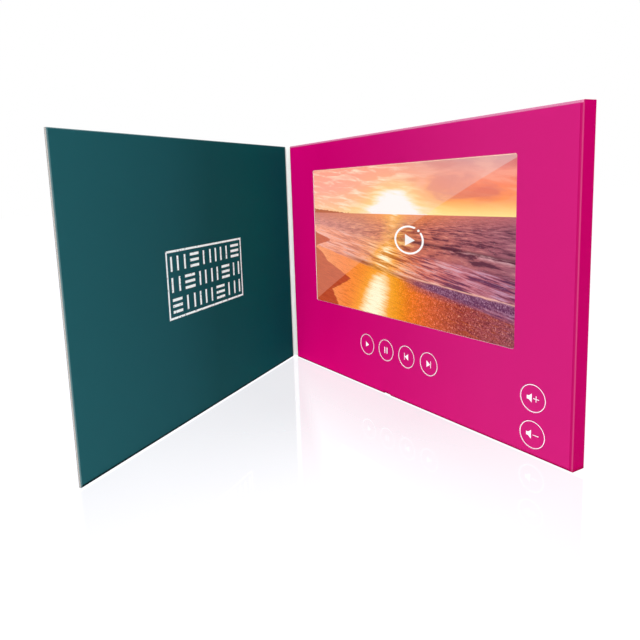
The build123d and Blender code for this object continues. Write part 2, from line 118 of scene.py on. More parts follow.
def give(node_names, material):
    """Puts one material on CAD nodes."""
    for name in node_names:
        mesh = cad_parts[name].data
        mesh.materials.clear()
        mesh.materials.append(material)


def meet(*masks):
    """The product of masks, made with the section's own node.

    A mask is a number, a node or socket, or a value with the two ends between which it rises to 1.
    """
    product = None
    for mask in masks:
        if isinstance(mask, tuple):
            value, start, end = mask
            mask = node("MapRange", {"Value": value, "From Min": start, "From Max": end})
        product = mask if product is None else node("Math", {0: product, 1: mask}, operation="MULTIPLY")
    return product


def lay(tone, below, *masks):
    """A tone laid over the one below, as much as its masks give."""
    return node("Mix", {0: meet(*masks), 6: below, 7: tone}, data_type="RGBA")


def magenta_film(node):
    """The print's place and point, its tone, and what its satin film adds to a shader.

    The tone changes across the box as painted light: brighter at the spine end against the shade of the V,
    and with a painted sheen towards the far end. To the eye it is flat colour, with a trace of fibre and
    little gloss.
    """
    place = node("TexCoord")
    at = place.outputs["Object"]
    fibre = node("TexNoise", {"Vector": at, "Scale": 1 / (0.25 * mm), "Detail": 3.0})
    mottle = node("TexNoise", {"Vector": at, "Scale": 1 / (9 * mm), "Detail": 4.0})
    where = node("SeparateXYZ", {0: at})
    to_right = node("MapRange", {"Value": where.outputs[0], "From Min": box_low.x, "From Max": box_high.x})
    # painted light: brighter at the spine end, where shade falls in the V, and a painted sheen towards the
    # far end
    painted_light_ramp = node(
        "ValToRGB",
        {0: to_right},
        stops=[(0, "#d80074"), (0.2, "#c9006b"), (0.5, "#bd0e69"), (0.8, "#bd1e6e")],
    )
    cloudy = node("Math", {0: mottle, 1: 0.12}, operation="MULTIPLY")
    tone = node("Mix", {0: cloudy, 6: painted_light_ramp, 7: magenta_ink}, data_type="RGBA")
    film = {
        "Roughness": node("MapRange", {"Value": mottle, "To Min": 0.36, "To Max": 0.44}),
        "IOR": 1.5,
        "Normal": node("Bump", {"Height": fibre, "Strength": 0.05, "Distance": 0.02 * mm}),
    }
    return place, where, tone, film


magenta_card, tree = new_tree("laminated_card_magenta")
node = partial(add, tree)
place, where, printed, film = magenta_film(node)
facing = node("SeparateXYZ", {0: place.outputs["Normal"]})
frontal = node("Math", {0: facing.outputs[1]}, operation="ABSOLUTE")
# painted shade: the sides and the start of each front fold take darker copies of the magenta
side_shade_tone = node("ValToRGB", {0: frontal}, stops=[(0.1, "#ac0057"), (0.5, "#a60053"), (0.7, "#a10c55")])
side_shaded_ink = lay(side_shade_tone, printed, (frontal, 0.995, 0.96))

# painted shade: the ink is darkened along the foot of the face and round its notch
notch_middle = -8 * mm
notch_height = 1.0 * mm
off_middle = node("Math", {0: where.outputs[0], 1: notch_middle}, operation="SUBTRACT")
notch_off = node("Math", {0: off_middle}, operation="ABSOLUTE")
notch_rise = node(
    "MapRange", {"Value": notch_off, "From Min": 3.6 * mm, "From Max": 2.4 * mm, "To Max": notch_height}
)
above_foot = node("Math", {0: where.outputs[2], 1: notch_rise}, operation="SUBTRACT")
ink = lay("#960042", side_shaded_ink, (above_foot, 1.8 * mm, 0.4 * mm))

# painted highlight: pale pink laid on each front fold, faint on the upright ones, strongest where they turn
# upwards and along the top
fold = node(
    "ValToRGB", {0: frontal}, stops=[(0.1, "#000000"), (0.3, "#ffffff"), (0.5, "#ffffff"), (0.7, "#000000")]
)
upwards = node("MapRange", {"Value": facing.outputs[2], "From Min": -1.0})
upward_highlight = node(
    "ValToRGB", {0: upwards}, stops=[(0.4, "#000000"), (0.5, "#848484"), (0.62, "#848484"), (0.8, "#ffffff")]
)
on_front = node("Math", {0: facing.outputs[1], 1: -0.5}, operation="LESS_THAN")
top_strip = meet((where.outputs[2], 146.7 * mm, 147.1 * mm), on_front)
fold_highlight = node("Math", {0: meet(fold, upward_highlight), 1: top_strip}, operation="MAXIMUM")
highlighted_ink = lay("#ffccec", ink, fold_highlight, 0.3)

# cut edges lie inside the outline and face sideways
off_centre = node("Math", {0: where.outputs[0]}, operation="ABSOLUTE")
inside_sides = node("Math", {0: off_centre, 1: 103.6 * mm}, operation="LESS_THAN")
above_floor = node("Math", {0: where.outputs[2], 1: 1.4 * mm}, operation="GREATER_THAN")
below_top = node("Math", {0: where.outputs[2], 1: 146.6 * mm}, operation="LESS_THAN")
sideways = node("Math", {0: frontal, 1: 0.5}, operation="LESS_THAN")
sheet_tone = lay(card_core, highlighted_ink, inside_sides, above_floor, below_top, sideways)
shader = node("BsdfPrincipled", film | {"Base Color": sheet_tone, "Specular IOR Level": 0.005})
node("OutputMaterial", {"Surface": shader})
give(["case_card"], magenta_card)


# ---- Window pane ----
# A clear acrylic sheet with rounded corners, set flush in the window. Along its top and left a small bevel
# is painted as a warm highlight, and its anti-reflective coating leaves hardly a mirror image.
def piece(shape, name, body, slot, *materials):
    """Makes a finished mesh object and lets it ride on a body, or on none where it bends across a fold."""
    mesh = bpy.data.meshes.new(name)
    shape.to_mesh(mesh)
    shape.free()
    for material in materials:
        mesh.materials.append(material)
    made = bpy.data.objects.new(name, mesh)
    bpy.context.scene.collection.objects.link(made)
    if body:
        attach(made, body)
    return made


pane_low, pane_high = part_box("screen_lens")
pane_gap = 0.02 * mm
edge_clear = 0.5 * mm
shape = bmesh.new()
size = pane_high - pane_low - Vector((0, pane_gap, 0))
centre = pane_low + size / 2
bmesh.ops.create_cube(shape, size=1, matrix=Matrix.Translation(centre) @ Matrix.Diagonal((*size, 1)))
upright = [edge for edge in shape.edges if abs(edge.verts[0].co.y - edge.verts[1].co.y) > size.y / 2]
bmesh.ops.bevel(shape, geom=upright, offset=1 * mm, segments=6, profile=0.5, affect="EDGES", material=-1)
rim = [
    edge
    for edge in shape.edges
    if all(vert.co.y < pane_low.y + pane_gap and vert.co.x < pane_high.x - edge_clear for vert in edge.verts)
    and max(vert.co.z for vert in edge.verts) > pane_low.z + edge_clear
]
highlit_bevel = bmesh.ops.bevel(
    shape, geom=rim, offset=0.3 * mm, segments=3, profile=0.5, affect="EDGES", material=-1
)
for face in highlit_bevel["faces"]:
    face.material_index = 1

# polished and coated: clear, with wipe marks that only a light at a low angle shows
clear_acrylic, tree = new_tree("acrylic_clear_polished")
node = partial(add, tree)
place = node("TexCoord")
wipe = node(
    "TexNoise", {"Vector": place.outputs["Object"], "Scale": 1 / (18 * mm), "Detail": 5.0, "Roughness": 0.6}
)
shader = node(
    "BsdfPrincipled",
    {
        "Base Color": "#fdfdfd",
        "Transmission Weight": 1.0,
        "IOR": 1.12,
        "Roughness": node("MapRange", {"Value": wipe, "To Min": 0.0, "To Max": 0.004}),
    },
)
node("OutputMaterial", {"Surface": shader})

# painted highlight: a matt, warm white line on the top and left bevel, for the picture's light that it
# catches
edge_highlight, tree = new_tree("acrylic_edge_painted_highlight")
node = partial(add, tree)
highlight_grain = node(
    "TexNoise", {"Vector": node("TexCoord").outputs["Object"], "Scale": 1 / (0.3 * mm), "Detail": 3.0}
)
highlight_tone = lay("#fbe0c6", "#f3c9a4", highlight_grain)
shader = node(
    "BsdfPrincipled", {"Base Color": highlight_tone, "Roughness": 0.5, "IOR": 1.49, "Specular IOR Level": 0.3}
)
node("OutputMaterial", {"Surface": shader})
window_pane = piece(shape, "window_pane", "screen_box", "clear_lens", clear_acrylic, edge_highlight)
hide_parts("screen_lens")


# ---- Display glass ----
# The front glass of the 7-inch module, which shows a still from a film: a sunset over the sea, seen
# from a beach, under a round play symbol. It glows by itself, so it is an emission. Lengths are in
# millimetres on the glass, from its middle across and from the horizon up and down.
lit_picture, tree = new_tree("display_glass_lit")
node = partial(add, tree)
place = node("TexCoord")
point = node(
    "SeparateXYZ", {0: node("Mapping", {"Vector": place.outputs["Object"], "Scale": (1000, 1000, 1000)})}
)
x = point.outputs[0]
horizon_height = 103.6
half_width = 76.8
up = node("Math", {0: point.outputs[2], 1: horizon_height}, operation="SUBTRACT")
down = node("Math", {0: horizon_height, 1: point.outputs[2]}, operation="SUBTRACT")
from_left = node("Math", {0: x, 1: half_width}, operation="ADD")
along = node("MapRange", {"Value": x, "From Min": -half_width, "From Max": half_width})


def drawn_out(across, height, wide, high, layer, **settings):
    """Noise that is pulled out sideways, for clouds, waves and foam."""
    where = node(
        "CombineXYZ",
        {
            0: node("Math", {0: across, 1: wide}, operation="DIVIDE"),
            1: node("Math", {0: height, 1: high}, operation="DIVIDE"),
            2: layer,
        },
    )
    return node("TexNoise", {"Vector": where, "Scale": 1.0, **settings})


def bell(value, middle, width):
    """1 where the value is at its middle, falling to 0 beside it."""
    off = node(
        "Math", {0: node("Math", {0: value, 1: middle}, operation="SUBTRACT"), 1: width}, operation="DIVIDE"
    )
    square = node("Math", {0: off, 1: off}, operation="MULTIPLY")
    return node("Math", {0: node("Math", {0: 0.0, 1: square}, operation="SUBTRACT")}, operation="EXPONENT")


# sky: cream and peach to the left, salmon and mauve to the right, yellow along the horizon
sky_up = meet((up, 0.0, 26.8))
sky_left = node(
    "ValToRGB", {0: sky_up}, stops=[(0, "#fecb94"), (0.25, "#fdba96"), (0.55, "#fba694"), (1, "#fa9e88")]
)
sky_right = node(
    "ValToRGB",
    {0: sky_up},
    stops=[
        (0, "#fee092"), (0.12, "#fec87e"), (0.28, "#fd985c"), (0.5, "#fb8b66"), (0.75, "#f08e7c"),
        (1, "#c87a82"),
    ],
)
to_right = node(
    "MapRange", {"Value": x, "From Min": -14.0, "From Max": 40.0}, interpolation_type="SMOOTHSTEP"
)
sky_base = lay(sky_right, sky_left, to_right)
cloud = drawn_out(
    x,
    node("Math", {0: x, 1: 0.1, 2: up}, operation="MULTIPLY_ADD"),
    19.0,
    2.6,
    0.0,
    Detail=9.0,
    Roughness=0.6,
    Distortion=0.5,
)
bank = drawn_out(x, up, 34.0, 9.0, 7.3, Detail=8.0, Roughness=0.5, Distortion=0.7)
amber = lay("#fecb62", sky_base, bell(x, -1.0, 32.0), bell(up, 2.0, 15.0), 0.95)
salmon = lay("#d6706a", amber, (bank, 0.49, 0.6), (up, 3.0, 9.0), to_right, 0.6)
blush = lay("#feb49c", salmon, (bank, 0.47, 0.4), (up, 5.0, 12.0), to_right, 0.4)
to_left = node("MapRange", {"Value": x, "From Min": 40.0, "From Max": -20.0}, interpolation_type="SMOOTHSTEP")
wispy = lay("#fff3d8", blush, (cloud, 0.49, 0.66), node("Mix", {0: to_left, 2: 0.04, 3: 0.85}))
core_wide = meet(bell(x, -1.0, 14.5), bell(up, 3.5, 9.5))
core_low = meet(bell(x, -3.0, 33.0), bell(up, 0.5, 3.8))
ragged = node("MapRange", {"Value": cloud, "From Min": 0.3, "From Max": 0.7, "To Min": 0.5, "To Max": 1.6})
core = meet(node("Math", {0: core_low, 1: 0.55, 2: core_wide}, operation="MULTIPLY_ADD"), ragged)
yellow = lay("#fee89e", wispy, (core, 0.02, 0.34), 0.9)
glow = node("MapRange", {"Value": core, "From Min": 0.14, "From Max": 0.6}, interpolation_type="SMOOTHSTEP")
sky = lay("#ffffff", yellow, glow)

# sea: rose to the left, plum to the right and orange under the sun, with waves that grow towards us
far_tone = node(
    "ValToRGB",
    {0: along},
    stops=[
        (0, "#c06a5c"), (0.3, "#d07850"), (0.42, "#fb9843"), (0.5, "#ffbb40"), (0.56, "#fc9844"),
        (0.66, "#e88250"), (0.8, "#d87a6c"), (1, "#b8666e"),
    ],
)
mid_tone = node(
    "ValToRGB",
    {0: along},
    stops=[
        (0, "#d28a88"), (0.3, "#c87f72"), (0.42, "#d0785a"), (0.5, "#e09452"), (0.56, "#c8704c"),
        (0.66, "#c26a5c"), (0.8, "#ac6266"), (1, "#965a6a"),
    ],
)
sea_tone = lay(mid_tone, far_tone, (down, 0.0, 7.0))
near = node("Math", {0: down, 1: 2.4}, operation="ADD")
wave_across = node("Math", {0: x, 1: near}, operation="DIVIDE")
wave_back = node("Math", {0: 52.0, 1: near}, operation="DIVIDE")
waves = drawn_out(wave_across, wave_back, 0.62, 0.32, 1.7, Detail=9.0, Roughness=0.7, Distortion=0.25)
wave_tone = node(
    "ValToRGB",
    {0: along},
    stops=[(0, "#9a5e64"), (0.4, "#8e4438"), (0.55, "#7c3430"), (0.7, "#54263a"), (1, "#4a2238")],
)
trough_share = node("Mix", {0: meet((down, 0.3, 7.0)), 2: 0.35, 3: 0.85})
sea_dark = lay(wave_tone, sea_tone, (waves, 0.5, 0.42), trough_share)
crest_tone = node(
    "ValToRGB",
    {0: along},
    stops=[(0, "#eeb0a0"), (0.42, "#fdba78"), (0.52, "#ffe08c"), (0.62, "#f09a78"), (1, "#c88890")],
)
sea_lit = lay(crest_tone, sea_dark, (waves, 0.54, 0.64), 0.8)

# one low wave about to break at the right
swell = node(
    "Math",
    {0: waves, 1: 3.0, 2: node("Math", {0: x, 1: -0.085, 2: down}, operation="MULTIPLY_ADD")},
    operation="MULTIPLY_ADD",
)
sea_swell = lay("#4a2030", sea_lit, bell(swell, 14.4, 0.8), (x, -8.0, 12.0), 0.75)
sea = lay("#e8bcc0", sea_swell, bell(swell, 15.6, 0.8), (waves, 0.46, 0.6), (x, 34.0, 46.0), 0.85)

# shallows: long streaks of lilac foam, peach film and shadow, sloping down to the right
slope = node("Math", {0: from_left, 1: -0.17, 2: down}, operation="MULTIPLY_ADD")
streaks = drawn_out(x, slope, 26.0, 1.9, 0.0, Detail=10.0, Roughness=0.68, Distortion=0.3)
shallow_tone = node(
    "ValToRGB",
    {0: along},
    stops=[
        (0, "#fdaa88"), (0.26, "#f49a78"), (0.42, "#f9a658"), (0.52, "#f2904c"), (0.63, "#d9705a"),
        (0.8, "#c66e76"), (1, "#a45a6c"),
    ],
)
foam_tone = node(
    "ValToRGB",
    {0: along},
    stops=[
        (0, "#eec4c0"), (0.3, "#e8b4a8"), (0.45, "#ffe0a4"), (0.58, "#eab0a0"), (0.8, "#d2a2b4"),
        (1, "#c094b2"),
    ],
)
foamy = lay(foam_tone, shallow_tone, (streaks, 0.5, 0.6), 0.9)
shadow_tone = node(
    "ValToRGB",
    {0: along},
    stops=[(0, "#cc7a74"), (0.32, "#ac5c4c"), (0.48, "#9c4424"), (0.66, "#6c3450"), (1, "#542a50")],
)
shadowed = lay(shadow_tone, foamy, (streaks, 0.5, 0.42), 0.9)
threads = drawn_out(x, slope, 11.0, 0.62, 9.2, Detail=6.0, Roughness=0.65, Distortion=0.3)
threaded = lay(shadow_tone, shadowed, (threads, 0.46, 0.4), 0.6)
shallows = lay(foam_tone, threaded, (threads, 0.56, 0.64), 0.5)

# wet sand: orange and gold, turning to rose brown with a glitter of small wet stones
ripple = drawn_out(x, slope, 7.0, 0.8, 4.1, Detail=6.0, Roughness=0.6, Distortion=0.6)
wet_tone = node(
    "ValToRGB",
    {0: along},
    stops=[
        (0, "#fea46c"), (0.2, "#fd8c42"), (0.34, "#fd962c"), (0.5, "#ffa216"), (0.58, "#ff8424"),
        (0.66, "#f0703a"), (0.8, "#bc5450"), (1, "#a65c70"),
    ],
)
grain = node(
    "TexNoise",
    {"Vector": place.outputs["Object"], "Scale": 1 / (0.75 * mm), "Detail": 5.0, "Roughness": 0.75},
)
grain_shade = node("ValToRGB", {0: grain}, stops=[(0.38, "#6c4048"), (0.52, "#dccaca"), (0.66, "#ffffff")])
coarse = node("Mix", {0: meet((x, -20.0, 45.0)), 2: 0.12, 3: 0.85})
wet = node("Mix", {0: coarse, 6: wet_tone, 7: grain_shade}, data_type="RGBA", blend_type="MULTIPLY")
stone_share = node("Mix", {0: meet((x, -10.0, 40.0)), 2: 0.15, 3: 0.7})
stony = lay("#ffc8ac", wet, (grain, 0.58, 0.68), stone_share)
wet_shade = lay("#c25a1e", stony, (ripple, 0.52, 0.36), 0.42)

# the water's edges wander with the streaks
sea_edge = node(
    "Math",
    {0: streaks, 1: 5.0, 2: node("Math", {0: from_left, 1: -0.135, 2: down}, operation="MULTIPLY_ADD")},
    operation="MULTIPLY_ADD",
)
water = lay(shallows, sea, (sea_edge, 8.2, 11.2))
wet_edge = node("Math", {0: streaks, 1: 4.5, 2: slope}, operation="MULTIPLY_ADD")
shore = lay(wet_shade, water, (wet_edge, 22.6, 23.8))
lipped = lay("#8a3c18", shore, bell(wet_edge, 22.2, 0.9), (x, -45.0, -32.0), (x, 24.0, -4.0), 0.9)

# a belt of purple froth at the right, full of holes, with a pale rim towards the sea
belt = node(
    "Math",
    {0: streaks, 1: 4.0, 2: node("Math", {0: x, 1: -0.085, 2: down}, operation="MULTIPLY_ADD")},
    operation="MULTIPLY_ADD",
)
froth = node("ValToRGB", {0: grain}, stops=[(0.4, "#54264a"), (0.54, "#7c4a6c"), (0.68, "#c49cb4")])
belted = lay(froth, lipped, (belt, 34.2, 35.2), (belt, 41.8, 37.6), (x, 4.0, 26.0), 0.92)
rimmed = lay("#f2bca6", belted, bell(belt, 34.1, 0.4), (x, -12.0, 10.0), 0.85)

# the sun's path over the water, brightest on the wet sand
path_off = node(
    "Math",
    {
        0: node("Math", {0: down, 1: 0.36, 2: x}, operation="MULTIPLY_ADD"),
        1: node("Math", {0: down, 1: 0.15, 2: 4.5}, operation="MULTIPLY_ADD"),
    },
    operation="DIVIDE",
)
path_power = node(
    "ValToRGB",
    {0: meet((down, 0.0, 57.7))},
    stops=[
        (0, "#e0e0e0"), (0.1, "#b8b8b8"), (0.26, "#acacac"), (0.38, "#ffffff"), (0.48, "#e4e4e4"),
        (0.56, "#b4b4b4"), (0.66, "#f8f8f8"), (0.8, "#ffffff"),
    ],
)
path_break = node(
    "Mix", {0: meet((down, 26.0, 46.0)), 2: meet((streaks, 0.42, 0.58)), 3: meet((ripple, 0.1, 0.6))}
)
path = meet(bell(path_off, 0.0, 1.0), path_power, node("Mix", {0: path_break, 2: 0.25, 3: 1.0}))
gilded = lay("#fdb040", rimmed, path, 1.8)
lit = lay("#fff5d2", gilded, (path, 0.3, 0.78))

# dry sand: a small tongue on the left and a larger one below it
bank_edge = node(
    "ValToRGB",
    {0: meet((down, 21.5, 57.7))},
    stops=[
        (0.0, "#000000"), (0.1, "#747474"), (0.26, "#949494"), (0.4, "#c6c6c6"), (0.5, "#dedede"),
        (0.6, "#cacaca"), (0.74, "#a2a2a2"), (1.0, "#bababa"),
    ],
)
tongue_reach = node(
    "Math", {0: bell(down, 17.0, 3.0), 1: 17.0, 2: -half_width - 1.0}, operation="MULTIPLY_ADD"
)
bank_reach = node("MapRange", {"Value": bank_edge, "To Min": -79.0, "To Max": -26.0})
either = node("Math", {0: tongue_reach, 1: bank_reach}, operation="MAXIMUM")
wander = node(
    "Math",
    {0: node("Math", {0: streaks, 1: 0.5}, operation="SUBTRACT"), 1: 5.0, 2: either},
    operation="MULTIPLY_ADD",
)
sand_in = node("Math", {0: wander, 1: x}, operation="SUBTRACT")
sand_tone = node("ValToRGB", {0: ripple}, stops=[(0.3, "#ab3c22"), (0.7, "#c4532f")])
beach = lay(sand_tone, lit, (sand_in, -0.5, 0.6))

# a low headland with a shrub on the horizon at the far left
head_along = node("Math", {0: x, 1: 2.2}, operation="DIVIDE")
head_noise = node("TexNoise", {"W": head_along, "Scale": 1.0, "Detail": 4.0}, noise_dimensions="1D")
head_rise = node(
    "MapRange", {"Value": x, "From Min": -36.0, "From Max": -78.0, "To Min": -1.0, "To Max": 1.9}
)
head = node(
    "Math",
    {0: up, 1: node("Math", {0: head_noise, 1: 1.3, 2: head_rise}, operation="MULTIPLY_ADD")},
    operation="LESS_THAN",
)
above = node("Math", {0: up, 1: 0.0}, operation="GREATER_THAN")
view_out = lay(lay("#a3450a", sky, head), beach, above)

# painted reflection: a paler half above a slightly bowed diagonal, for glare on the glass
bow = node(
    "Math",
    {0: node("Math", {0: x, 1: x}, operation="MULTIPLY"), 1: -0.000674, 2: -11.73},
    operation="MULTIPLY_ADD",
)
above_edge = node(
    "Math", {0: up, 1: node("Math", {0: x, 1: 0.534, 2: bow}, operation="MULTIPLY_ADD")}, operation="SUBTRACT"
)
glare_share = node("MapRange", {"Value": x, "From Min": 0.0, "From Max": 75.0, "To Min": 0.2, "To Max": 0.34})
glare_tone = node("ValToRGB", {0: along}, stops=[(0.4, "#ffb89c"), (1, "#e6d6d2")])
glare_painted = lay(glare_tone, view_out, (above_edge, -0.15, 0.15), glare_share)

# play symbol: an open ring, a dot in its gap and a triangle
ring_wide, ring_high = 10.35, 7.1
symbol_x = node("Math", {0: x, 1: 10.6}, operation="SUBTRACT")
symbol_z = node("Math", {0: up, 1: 13.3}, operation="ADD")
ring_across = node("Math", {0: symbol_x, 1: ring_wide}, operation="DIVIDE")
ring_up = node("Math", {0: symbol_z, 1: ring_high}, operation="DIVIDE")
ring_place = node("CombineXYZ", {0: ring_across, 1: ring_up})
ring_radius = node("VectorMath", {0: ring_place}, operation="LENGTH").outputs["Value"]
ring_off = node(
    "Math", {0: node("Math", {0: ring_radius, 1: 1.0}, operation="SUBTRACT")}, operation="ABSOLUTE"
)
ring_line = node("Math", {0: ring_off, 1: 0.068}, operation="LESS_THAN")
gap_off = node("VectorMath", {0: ring_place, 1: (0.66, 0.75, 0)}, operation="DISTANCE").outputs["Value"]
ring_open = node("Math", {0: gap_off, 1: 0.25}, operation="GREATER_THAN")
dot_off = node("VectorMath", {0: ring_place, 1: (0.7, 0.72, 0)}, operation="DISTANCE").outputs["Value"]
dot = node("Math", {0: dot_off, 1: 0.09}, operation="LESS_THAN")
open_ring = node("Math", {0: meet(ring_line, ring_open), 1: dot}, operation="MAXIMUM")
triangle_left = node("Math", {0: symbol_x, 1: -2.8}, operation="GREATER_THAN")
triangle_slope = node(
    "Math",
    {0: node("Math", {0: symbol_z}, operation="ABSOLUTE"), 1: 2.4, 2: symbol_x},
    operation="MULTIPLY_ADD",
)
triangle_right = node("Math", {0: triangle_slope, 1: 4.6}, operation="LESS_THAN")
triangle = meet(triangle_right, triangle_left, 0.84)
symbol = node("Math", {0: meet(open_ring, 0.95), 1: triangle}, operation="MAXIMUM")
picture = lay("#ffffff", glare_painted, symbol)
shader = node(
    "BsdfPrincipled",
    {
        "Base Color": "#050505",
        "Roughness": 0.25,
        "Emission Color": picture,
        "Emission Strength": 1.08,
        "Specular IOR Level": 0.1,
    },
)
node("OutputMaterial", {"Surface": shader})
give(["display_front_glass"], lit_picture)


# ---- Display module ----
# Behind the front glass: black tape to the face, a rear glass with the driver chip and film ribbon on
# its ledge, white films over an acrylic guide lit by a lamp strip, a moulded frame and a steel plate.
def surface(name, dark, pale, grain, rough, bump=0.0, **own):
    """A material that varies finely in colour, roughness and height, at a grain size in millimetres."""
    made, tree = new_tree(name)
    node = partial(add, tree)
    place = node("TexCoord").outputs["Object"]
    noise = node("TexNoise", {"Vector": place, "Scale": 1 / (grain * mm), "Detail": 4.0})
    inputs = {
        "Base Color": node("Mix", {0: noise, 6: dark, 7: pale}, data_type="RGBA"),
        "Roughness": node("MapRange", {"Value": noise, "To Min": rough - 0.06, "To Max": rough + 0.06}),
    }
    if bump:
        inputs["Normal"] = node("Bump", {"Height": noise, "Strength": bump, "Distance": 0.05 * mm})
    shader = node("BsdfPrincipled", inputs | {key.replace("_", " "): value for key, value in own.items()})
    node("OutputMaterial", {"Surface": shader})
    return made, node, shader


def stripes(node, axis, pitch, share, start=0.0):
    """Is 1 on stripes of a pitch in millimetres along an axis, which fill that share of it."""
    along = node("SeparateXYZ", {0: node("TexCoord").outputs["Object"]}).outputs[axis]
    turns = node(
        "Math",
        {0: node("Math", {0: along, 1: start * mm}, operation="SUBTRACT"), 1: pitch * mm},
        operation="DIVIDE",
    )
    return node("Math", {0: node("Math", {0: turns}, operation="FRACT"), 1: share}, operation="LESS_THAN")


def recolour(node, shader, share, tone):
    """Paints a tone on a surface where the share is 1."""
    old = shader.inputs["Base Color"].links[0].from_socket
    mixed = node("Mix", {0: share, 6: old, 7: tone}, data_type="RGBA")
    shader.id_data.links.new(mixed.outputs[2], shader.inputs["Base Color"])


# black foam tape: matt, with fine pores
give(["display_tape"], surface("foam_tape_black", "#0d0d0e", "#1a1a1c", 0.4, 0.85, 0.3)[0])

# the pixel columns show as hair lines in the dark glass
pixel_glass, node, shader = surface("pixel_glass_dark", "#101114", "#15171b", 6, 0.12, IOR=1.5)
recolour(node, shader, stripes(node, 0, 0.9, 0.12), "#23262c")
give(["display_rear_glass"], pixel_glass)

# the driver chip is a dull black sliver, and the films are satin white
give(["display_driver"], surface("epoxy_black_driver", "#121213", "#1d1d1f", 0.3, 0.45, 0.2)[0])
give(["diffuser_films"], surface("film_satin_white", "#e6e8ea", "#f6f7f8", 5, 0.38)[0])

# the guide's printed dots scatter the light
guide, node, shader = surface("light_guide_acrylic_dotted", "#eef3f4", "#f8fbfb", 8, 0.1, IOR=1.49)
dots = node(
    "TexVoronoi", {"Vector": node("TexCoord").outputs["Object"], "Scale": 1 / (1.1 * mm), "Randomness": 0.0}
)
recolour(node, shader, node("Math", {0: dots.outputs["Distance"], 1: 0.22}, operation="LESS_THAN"), "#ffffff")
shader.inputs["Transmission Weight"].default_value = 0.6
give(["light_guide"], guide)

# a lamp's yellow phosphor over its white strip
lamp_row, node, shader = surface("lamp_strip_white", "#e9e9e4", "#f7f6f0", 1.5, 0.5)
height = node("SeparateXYZ", {0: node("TexCoord").outputs["Object"]}).outputs[2]
recolour(node, shader, node("Math", {0: height, 1: 41.65 * mm}, operation="GREATER_THAN"), "#f1e08a")
give(["backlight_strip"], lamp_row)

# a moulded white frame with a fine grain, and a rolled steel plate with a soft metal sheen
give(["display_frame"], surface("polycarbonate_white_moulded", "#dcdedd", "#eef0ef", 0.7, 0.5, 0.15)[0])
give(["display_plate"], surface("steel_cold_rolled", "#a8abad", "#c3c6c8", 1.2, 0.34, 0.1, Metallic=1.0)[0])

# copper tracks under amber film
film, node, shader = surface("polyimide_ribbon_amber", "#a8641c", "#bd7a2a", 3, 0.3)
recolour(node, shader, stripes(node, 0, 0.5, 0.45), "#c98a55")
give(["display_ribbon"], film)
give(["foam_strips"], surface("foam_open_cell_white", "#d9dadb", "#f1f2f2", 0.5, 0.9, 0.8)[0])


# ---- Press caps ----
# Six round caps of moulded ABS, printed with the box's magenta and set flush in holes of its face. Each
# slides back a fraction of a millimetre against the switch behind it.
magenta_cap, tree = new_tree("abs_cap_magenta_print")
node = partial(add, tree)
# the caps take the box's tone, with its painted light across them
tone, film = magenta_film(node)[2:]
shader = node("BsdfPrincipled", film | {"Base Color": tone, "Specular IOR Level": 0.02})
node("OutputMaterial", {"Surface": shader})
keys = ["play", "pause", "previous", "next", "volume_up", "volume_down"]
give([f"{key}_button" for key in keys], magenta_cap)


# ---- Signs on the caps ----
# White screen-print on each cap: a ring at its rim and the usual sign for its job, a film of ink that
# stands a few hundredths of a millimetre proud.
ink_height = 0.03 * mm
ring_middle = 6.0 * mm
ring_stroke = 0.29 * mm


def verts_in(geom):
    """The vertices among the parts that an operator gives back."""
    return [item for item in geom if isinstance(item, bmesh.types.BMVert)]


def polygon(shape, points):
    """A flat face through points."""
    return bmesh.ops.contextual_create(shape, geom=[shape.verts.new(point) for point in points])["faces"]


def thicken(shape, way):
    """Gives flat faces a thickness along a direction, and turns them all outwards."""
    raised = bmesh.ops.extrude_face_region(shape, geom=shape.faces[:])["geom"]
    bmesh.ops.translate(shape, verts=verts_in(raised), vec=way)
    bmesh.ops.recalc_face_normals(shape, faces=shape.faces[:])


def bar(across, up, width, height):
    """The corners of a level or upright stroke, from its middle and size."""
    left, right = across - width / 2, across + width / 2
    low, high = up - height / 2, up + height / 2
    return [(left, low), (right, low), (right, high), (left, high)]


# screen-print ink: a dense, dry white
white_ink, tree = new_tree("screen_print_ink_white")
node = partial(add, tree)
spread = node(
    "TexNoise", {"Vector": node("TexCoord").outputs["Object"], "Scale": 1 / (0.8 * mm), "Detail": 3.0}
)
ink_tone = lay("#fbfaff", "#f0eef8", spread)
shader = node("BsdfPrincipled", {"Base Color": ink_tone, "Roughness": 0.55, "Specular IOR Level": 0.3})
node("OutputMaterial", {"Surface": shader})

